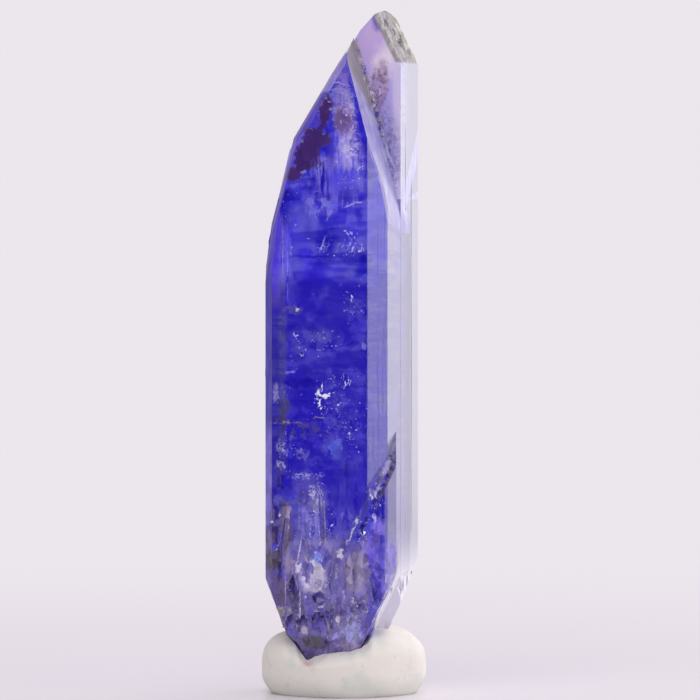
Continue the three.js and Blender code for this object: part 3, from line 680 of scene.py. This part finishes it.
def rear_crystal(skin):
    """At the foot painted an opaque pale white, which stands in for the bright surround seen through the
    nearly colourless stone; above, a lavender bloom and mauve speckle on its front face, with painted glare
    and painted glints.
    """
    plate_edge = skin.mask((skin.height, 3.8, 7.8, 1.7, 3.1))
    past_plate = add(skin.tree, "Math", {0: skin.right, 1: plate_edge}, operation="SUBTRACT").outputs[0]
    # painted pale white: stands in for the bright surround seen through the colourless foot
    skin.lay(skin.mask((past_plate, 0.0, 0.15), (skin.height, 10.0, 6.0)), "F0EEF8", 0.0, 0.5)
    grains = skin.grain["grains"]
    face = skin.on_face((-90, 0, (0, STEP_Y, 0)), 29)
    skin.lay(face, "CCC0FF", 0.2, 0.3)
    skin.lay(skin.mask(face, (skin.right, 2.7, 3.0), 0.9), "E8DCFF", 0.1)
    bloom = skin.zone((1.75, STEP_Y, 38.0), (1.0, 2, 1.6), "soft", 0.4)
    skin.lay(skin.mask(face, bloom, 0.9), "DCC0F4", 0.1)
    glare = skin.zone((2.35, STEP_Y, 37.0), (0.6, 2, 1.2), "torn", 0.6, -15)
    skin.lay(skin.mask(face, glare, 0.9), "FFF0FF", 0.05)
    speckle = skin.zone((1.95, STEP_Y, 35.1), (0.55, 2, 1.9), "crumbly", 0.3, -10)
    skin.lay(skin.mask(face, speckle, 0.6), "B494C0", 0.2)
    skin.lay(skin.mask(face, speckle, grains, 0.85), "845E7A", 0.15)
    low = skin.zone((2.35, STEP_Y, 31.6), (0.9, 2, 2.6), "crumbly", 0.4)
    skin.lay(skin.mask(face, low, 0.7), "B4ACE8", 0.25)
    skin.lay(skin.mask(face, low, grains, 0.7), "746A94", 0.2)
    apex = skin.zone((1.85, STEP_Y, 39.5), (0.28, 2, 0.6), "soft", 0.6, 20)
    skin.lay(skin.mask(apex, face, 0.8), "6E58E0", 0.4)
    # painted glints on its front face
    skin.lay(skin.mask(face, skin.painted_glints(0.1)), "F0E8FF", 0.05)


def end_faces(skin):
    """The pale slope, slightly matt and painted pale lavender as a reflection of the bright surround; and,
    weathered and matt, the grey band beside it and the two rough caps.
    """
    fibres, crumbs, grains = (skin.grain[kind] for kind in ("fibres", "crumbs", "grains"))
    slope = add(skin.tree, "Math", {0: skin.on_face(PALE_SLOPE, 29), 1: skin.on_face(LOWER_SLOPE, 27)},
                operation="MAXIMUM").outputs[0]
    # painted pale lavender: a painted reflection of the bright surround, on a slightly rough face
    skin.lay(slope, "BCB8E4", 0.3, 0.3)
    mottle = skin.texture(1.6, 4.0, (1, 1, 0.5), (4, 4, 0))[0]
    skin.lay(skin.mask(slope, (mottle, 0.45, 0.6), 0.7), "D4D6E4", 0.2)
    skin.lay(skin.mask(slope, fibres, 0.5), "9A90E0", 0.4)
    shadow = skin.zone((0.9, FRONT_Y, 33.6), (0.5, 2, 2.2), "torn", 0.4, 14)
    skin.lay(skin.mask(slope, shadow, crumbs, 0.7), "8C7CC8", 0.3)
    band = skin.on_face(MATT_BAND, 31.6)
    skin.lay(band, "8F8798", 0.15, 0.5)
    skin.lay(skin.mask(band, fibres, 0.7), "827A6C")
    edge_of_band = skin.zone((1.5, STEP_Y, 35.5), (0.16, 2, 3.3), "crumbly", 0.4, 16.6)
    skin.lay(skin.mask(edge_of_band, grains, 0.9), "E0D8CC", 0.0)
    skin.lay(skin.mask(edge_of_band, crumbs, 0.5), "5C5048", 0.1)
    streaks = skin.mask((skin.texture(2.6, 4.0, (1, 1, 0.45), (1, 4, 0))[0], 0.52, 0.6))
    cap = skin.on_face(ROUGH_CAP, 37.02, 0.35, -0.5)
    skin.lay(cap, "958E92", 0.08, 0.6)
    skin.lay(skin.mask(cap, crumbs, 0.5), "A8A29E")
    skin.lay(skin.mask(cap, streaks, 0.7), "CFCBC8")
    skin.lay(skin.mask(cap, fibres, 0.35), "787270")
    outer = skin.on_face(OUTER_CAP, 37.25, 0.35, -0.5)
    skin.lay(outer, "9C9A86", 0.08, 0.6)
    skin.lay(skin.mask(outer, streaks, 0.8), "D8D6CA")


def crack_and_painted_highlights(skin, front):
    """Painted glints in bright specks, the open crack, and the bright ridges and lumps of the front, which
    are partly painted highlights.
    """
    chance = 0.008
    for x, z, wide, high, likely in PAINTED_SPARKLE:
        crowd = skin.mask(skin.zone((x, FRONT_Y, z), (wide, 2, high), "torn", 0.5), likely)
        chance = add(skin.tree, "Math", {0: chance, 1: crowd}, operation="ADD").outputs[0]
    # painted glints: bright specks and strokes laid into the colour
    skin.lay(skin.mask(skin.painted_glints(chance), front), "DCDCFF", 0.05, 0.3)
    for x, z, wide, high, lean in OPEN_CRACK:
        crack = skin.zone((x, FRONT_Y, z), (wide, 2, high), "crumbly", 0.3, lean)
        skin.lay(skin.mask(front, crack), "F4F4FF", 0.0, 0.3)
    # painted highlights, with some pale lumps of the stone's own colour
    skin.lay_marks(PAINTED_HIGHLIGHTS_AND_LUMPS, front)


def tanzanite_material():
    """Natural tanzanite: clear blue-violet zoisite with glassy growth faces, IOR 1.69. The colour is the
    stone's own absorption, so it deepens with thickness. Etched and broken places scatter light, so they
    look matt."""
    material, tree = new_material("natural tanzanite, glassy growth faces")
    skin = Skin(tree, "FFFFFF", 0.975, 0.02)
    upon = add(tree, "TexCoord").outputs["Normal"]
    sideways = add(tree, "SeparateXYZ", {0: upon}).outputs[0]
    leftward, foot = skin.mask((sideways, 0.35, 0.2)), skin.mask((skin.height, 9.5, 8.5))
    left_or_foot = add(tree, "Math", {0: leftward, 1: foot}, operation="MAXIMUM").outputs[0]
    front = skin.mask((skin.depth, -1.5, -1.8), left_or_foot)

    growth_zoning(skin)
    left_faces(skin, sideways)
    right_side(skin)
    skin.lay_marks(EDGE_STAINS)
    skin.lay_marks(FRONT_MARKS, front)
    rear_crystal(skin)
    end_faces(skin)
    # every clouded place is made of tiny chips: each chip's colour is multiplied by a random brightness,
    # which is painted light and shade, and a bump tilts it
    chip_height, chip_painted_light = skin.facets(3.4, (1, 1, 0.55))
    clouded = skin.mask((skin.clear, 0.9, 0.2))
    shade = skin.mask((chip_painted_light, 0.0, 1.0, 0.72, 1.42))
    grey = add(tree, "CombineColor", {0: shade, 1: shade, 2: shade}).outputs[0]
    skin.lay(skin.mask(front, clouded, (skin.height, 18.0, 12.0, 0.3, 1.0)), grey, blend="MULTIPLY")
    crack_and_painted_highlights(skin, front)
    tilt = skin.mask(front, (skin.height, 13.0, 8.0, 0.1, 1.0), (clouded, 0.0, 1.0, 0.15, 1.0))
    chips = skin.mask(chip_height, 0.5)
    bump = add(tree, "Bump", {"Strength": tilt, "Distance": MM, "Height": chips}).outputs[0]
    # frost pales the colour a trace
    skin.lay(skin.mask((skin.clear, 1.0, 0.0), skin.rough, 0.04), "FFFFFF")

    shader = add(tree, "BsdfPrincipled", {"Base Color": skin.colour, "Transmission Weight": skin.clear,
                                          "Roughness": skin.rough, "IOR": 1.69, "Normal": bump})
    body = add(tree, "VolumeAbsorption", {"Color": srgb("7A4AFC"), "Density": 560.0})
    add(tree, "OutputMaterial", {"Surface": shader.outputs[0], "Volume": body.outputs[0]})
    return material


def gas_film_material():
    """Gas film in a healed fracture: a thin flat gap that throws light back, like a silvery mirror."""
    material, tree = new_material("gas film in healed fractures, silvery")
    shader = add(tree, "BsdfPrincipled", {"Base Color": srgb("FBFAFF"), "Roughness": 0.2, "Metallic": 1.0})
    add(tree, "OutputMaterial", {"Surface": shader.outputs[0]})
    return material


# ---- the putty ----
PUTTY_WIDTH = 9.7
PUTTY_DEPTH = 8.6
PUTTY_WIDEST_Z = 1.65
PUTTY_RISE = 2.32
PUTTY_BELOW = 2.4
PUTTY_FULLNESS = 3  # 2 is a ball, and more is fuller
PUTTY_SHARE = 0.999  # of the solid's width and depth
PINCHED = 0.965  # how much of the width the pinches leave, about
# height of the rim that the crystal's foot has pressed into the front of the putty: (x, z)
RIM = [(-4.8, 3.3), (-3.65, 3.5), (-2.89, 3.0), (-2.45, 2.3), (-2.14, 1.95), (-1.62, 2.3), (-0.86, 2.6),
       (0.26, 2.7), (0.94, 2.95), (1.31, 3.25), (1.69, 3.8), (2.6, 3.97), (4.8, 3.9)]


def rim_height(x):
    for (x0, z0), (x1, z1) in zip(RIM, RIM[1:]):
        if x < x1:
            return mix(z0, z1, ease(x0, x1, x))
    return RIM[-1][1]


def putty_lumps(point):
    """Finger lumps and small pits, in mm."""
    lumps = noise.noise(point * 0.45) * 0.10 + noise.noise(point * 1.3) * 0.04
    lumps += noise.noise(point * 5) * 0.008
    near, middle = noise.voronoi(point * 1.6)
    pit = (1 - ease(0.05, 0.16, near[0])) * (noise.cell(middle[0] * 9) > 0.3)
    return lumps - 0.05 * pit


def putty_mesh():
    bm = bmesh.new()
    bmesh.ops.create_uvsphere(bm, u_segments=200, v_segments=100, radius=1)
    for vert in bm.verts:
        flat = math.hypot(vert.co.x, vert.co.y)
        round_off = (1 - abs(vert.co.z) ** PUTTY_FULLNESS) ** (1 / PUTTY_FULLNESS)
        spread = round_off / flat if flat > 1e-6 else 0
        angle = math.atan2(vert.co.y, vert.co.x)
        pinch = 1 - 0.022 * (1 + math.cos(3 * angle + 1.6)) - 0.012 * (1 + math.sin(5 * angle))
        x = vert.co.x * spread * pinch * PUTTY_WIDTH / 2 / PINCHED
        y = vert.co.y * spread * pinch * PUTTY_DEPTH / 2 / PINCHED
        front = ease(-0.6, -2.6, y)
        rise = mix(PUTTY_RISE * (1 + 0.006 * x), (rim_height(x) - PUTTY_WIDEST_Z) / 0.97, front)
        z = PUTTY_WIDEST_Z + vert.co.z * (rise if vert.co.z > 0 else PUTTY_BELOW)
        vert.co = Vector((x, y, z)) * MM
    cut_flat(bm, (0, 0, 0), (0, 0, -1))
    bm.normal_update()
    shifts = [v.normal * putty_lumps(v.co / MM) * ease(0, 0.5, v.co.z / MM) * MM for v in bm.verts]
    for vert, shift in zip(bm.verts, shifts):
        vert.co += shift
    for axis, size in ((0, PUTTY_WIDTH), (1, PUTTY_DEPTH)):
        low = min(v.co[axis] for v in bm.verts)
        high = max(v.co[axis] for v in bm.verts)
        for vert in bm.verts:
            vert.co[axis] = ((vert.co[axis] - low) / (high - low) - 0.5) * size * MM * PUTTY_SHARE
    return bm


def press_socket(piece, foot):
    """Cuts the crystal's foot out of the putty, so that the putty hugs it."""
    cutter = new_object("socket", foot)
    cut = piece.modifiers.new("socket", "BOOLEAN")
    cut.operation = "DIFFERENCE"
    cut.solver = "EXACT"
    cut.object = cutter
    dressed = bpy.data.meshes.new_from_object(piece.evaluated_get(bpy.context.evaluated_depsgraph_get()))
    piece.modifiers.clear()
    piece.data = dressed
    bpy.data.objects.remove(cutter)


def putty_material():
    """Mineral putty: filled soft polymer pressed by hand, which gives a chalky white with dull stains. It has
    painted shade low down, and a painted pink glow under the crystal's tip.
    """
    material, tree = new_material("white mineral putty, hand pressed")
    skin = Skin(tree, "F0ECE2", 0.0, 0.72)
    skin.lay(skin.mask((skin.texture(0.7)[0], 0.5, 0.68)), "E4E6DC")
    # painted shade: greyer towards the bottom
    skin.lay(skin.mask((skin.height, 1.4, 0.2, 0.0, 0.6)), "D8DCD2")
    stain = skin.texture(1.5, 5.0, offset=(3, 1, 2))[0]
    skin.lay(skin.mask((stain, 0.6, 0.7), 0.35), "C8CABC")
    speck = add(tree, "TexVoronoi", {"Vector": skin.outline["crumbly"], "Scale": 1.8})
    likely = add(tree, "SeparateColor", {0: speck.outputs["Color"]}).outputs[0]
    skin.lay(skin.mask((likely, 0.88, 1.0), (speck.outputs["Distance"], 0.14, 0.04), 0.8), "A8A494")
    # painted pink glow just under the crystal's tip
    skin.lay(skin.mask(skin.zone((-2.1, FRONT_Y, 1.95), (0.4, 1.5, 0.14), "crumbly", 0.5), 0.6), "F0C8CC")
    shader = add(tree, "BsdfPrincipled", {"Base Color": skin.colour, "Roughness": skin.rough, "IOR": 1.5})
    add(tree, "OutputMaterial", {"Surface": shader.outputs[0]})
    return material


# ---- pieces ----
crystal = finish_piece(crystal_mesh(), "crystal_faces", tanzanite_material(), crisp=24)
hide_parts("tanzanite_crystal")

NEAR = FRONT_Y + 0.35  # just under the front face
GLINT_SEED = 11
GLINT_CLOUDS = [
    # centre, reach, count and plate size, in mm
    ((0.3, NEAR, 33.0), (0.5, 0.3, 1.5), 75, 0.07),
    ((0.0, NEAR, 30.4), (1.0, 0.4, 1.2), 130, 0.06),
    ((-1.9, NEAR, 28.3), (0.5, 0.3, 0.7), 35, 0.06),
    ((0.2, NEAR, 26.7), (0.6, 0.3, 0.5), 22, 0.08),
    ((-1.1, NEAR, 26.4), (0.4, 0.3, 0.7), 15, 0.07),
    ((0.6, NEAR, 23.0), (0.4, 0.3, 0.4), 12, 0.07),
    ((-2.7, NEAR, 22.6), (0.2, 0.1, 0.15), 6, 0.09),
    ((-2.5, NEAR, 20.9), (0.35, 0.2, 0.5), 15, 0.07),
    ((-1.3, NEAR, 20.9), (0.5, 0.2, 0.6), 22, 0.08),
    ((-0.1, NEAR, 18.6), (0.6, 0.2, 0.4), 20, 0.08),
    ((0.7, NEAR, 16.4), (0.2, 0.2, 0.5), 10, 0.07),
    ((-0.3, NEAR, 15.9), (0.4, 0.2, 0.4), 13, 0.07),
    ((-0.6, NEAR, 14.6), (0.6, 0.2, 0.5), 45, 0.06),
    ((-3.6, NEAR, 14.8), (0.3, 0.2, 0.4), 15, 0.08),
    ((-2.4, NEAR, 14.3), (0.3, 0.2, 0.3), 11, 0.07),
    ((-2.2, NEAR, 11.4), (1.1, 0.4, 2.0), 210, 0.06),
    ((-1.6, NEAR, 7.4), (0.9, 0.4, 1.1), 150, 0.06),
    ((-0.3, NEAR, 5.2), (0.5, 0.3, 1.2), 65, 0.06),
]
finish_piece(tiny_plates(GLINT_CLOUDS, GLINT_SEED), "healed_fractures", gas_film_material())

putty = finish_piece(putty_mesh(), "pressed_putty", putty_material(), crisp=40)
press_socket(putty, new_mesh(merged_copy("tanzanite_crystal"), "socket"))
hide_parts("mounting_putty")

# ---- floor, light and camera ----
BACKGROUND = "ECE6ED"
CARD = "EDE7ED"
DARK_SIDE = "1E1E26"
FLOOR_REACH = 0.12  # metres
FLOOR_FADE = (0.02, 0.115)  # metres from the middle over which the card turns into the even surround


def light_floor():
    """A pale satin card, which fades into the surround."""
    card = bmesh.new()
    bmesh.ops.create_circle(card, cap_ends=True, segments=128, radius=FLOOR_REACH)
    floor = new_object("floor", new_mesh(card, "floor"))
    material, tree = new_material("pale satin card")
    satin = add(tree, "BsdfPrincipled", {"Base Color": srgb(CARD), "Roughness": 0.3})
    glow = add(tree, "Emission", {"Color": srgb(BACKGROUND)})
    place = add(tree, "TexCoord").outputs["Object"]
    reach = add(tree, "VectorMath", {0: place}, operation="LENGTH").outputs["Value"]
    fade = add(tree, "MapRange", {0: reach, 1: FLOOR_FADE[0], 2: FLOOR_FADE[1]},
               interpolation_type="SMOOTHSTEP").outputs[0]
    blend = add(tree, "MixShader", {0: fade, 1: satin.outputs[0], 2: glow.outputs[0]})
    add(tree, "OutputMaterial", {"Surface": blend.outputs[0]})
    floor.data.materials.append(material)


def light_world():
    """An even pale surround. It is darker in front, where a camera would stand, and on the left, so that the
    faces that look there stay clear."""
    world = bpy.data.worlds.new("studio")
    scene.world = world
    world.use_nodes = True
    tree = world.node_tree
    tree.nodes.clear()
    heading = add(tree, "TexCoord").outputs["Generated"]
    dark = 0.0
    # each dark side: its direction, the cosines from which it starts and is full, and how dark it gets
    for way, start, end, depth in (((0, -1, 0), 0.75, 0.97, 1.0), ((-1, 0, 0), 0.03, 0.4, 0.55)):
        lean = add(tree, "VectorMath", {0: heading, 1: way}, operation="DOT_PRODUCT").outputs["Value"]
        side = add(tree, "MapRange", {0: lean, 1: start, 2: end, 4: depth},
                   interpolation_type="SMOOTHSTEP").outputs[0]
        dark = add(tree, "Math", {0: dark, 1: side}, operation="MAXIMUM").outputs[0]
    seen = add(tree, "LightPath").outputs["Is Camera Ray"]
    unseen = add(tree, "Math", {0: 1.0, 1: seen}, operation="SUBTRACT").outputs[0]
    share = add(tree, "Math", {0: dark, 1: unseen}, operation="MULTIPLY").outputs[0]
    colour = add(tree, "Mix", {0: share, 6: srgb(BACKGROUND), 7: srgb(DARK_SIDE)},
                 data_type="RGBA").outputs[2]
    glow = add(tree, "Background", {"Color": colour, "Strength": 1.0})
    add(tree, "OutputWorld", {"Surface": glow.outputs[0]})


def softbox(name, at, width, height, brightness, aim=(0, 0, 20)):
    """A glowing panel of the given size, in mm, that points at aim."""
    light = bpy.data.lights.new(name, "AREA")
    light.shape = "RECTANGLE"
    light.size = width * MM
    light.size_y = height * MM
    light.energy = brightness * math.pi * light.size * light.size_y
    lamp = new_object(name, light)
    lamp.location = Vector(at) * MM
    lamp.rotation_euler = (Vector(at) - Vector(aim)).to_track_quat("Z", "Y").to_euler()
    lamp.visible_camera = False


light_floor()
light_world()
softbox("right softbox", (240, 200, 70), 300, 380, 1.5)
softbox("front top softbox", (-80, -260, 300), 320, 260, 1.6)
softbox("low right softbox", (300, -110, 40), 160, 260, 1.2)
softbox("low left softbox", (-230, -190, 30), 160, 160, 0.9, aim=(0, 0, 4))

VIEW_WIDTH = 700 / 17  # mm across the picture at the crystal
CAMERA_DISTANCE = 300
CAMERA_RISE = 1.6  # degrees
TARGET = Vector((0.353, 0, 20.18))

camera_data = bpy.data.cameras.new("camera")
camera_data.sensor_width = 36
camera_data.lens = camera_data.sensor_width * CAMERA_DISTANCE / VIEW_WIDTH
camera_data.clip_start = 0.01
camera_data.clip_end = 10
camera = new_object("camera", camera_data)
rise = math.radians(CAMERA_RISE)
back = Vector((0, -math.cos(rise), math.sin(rise)))
camera.location = (TARGET + back * CAMERA_DISTANCE) * MM
camera.rotation_euler = back.to_track_quat("Z", "Y").to_euler()
scene.camera = camera
scene.view_settings.view_transform = "Standard"
scene.cycles.transmission_bounces = 16
scene.cycles.max_bounces = 18
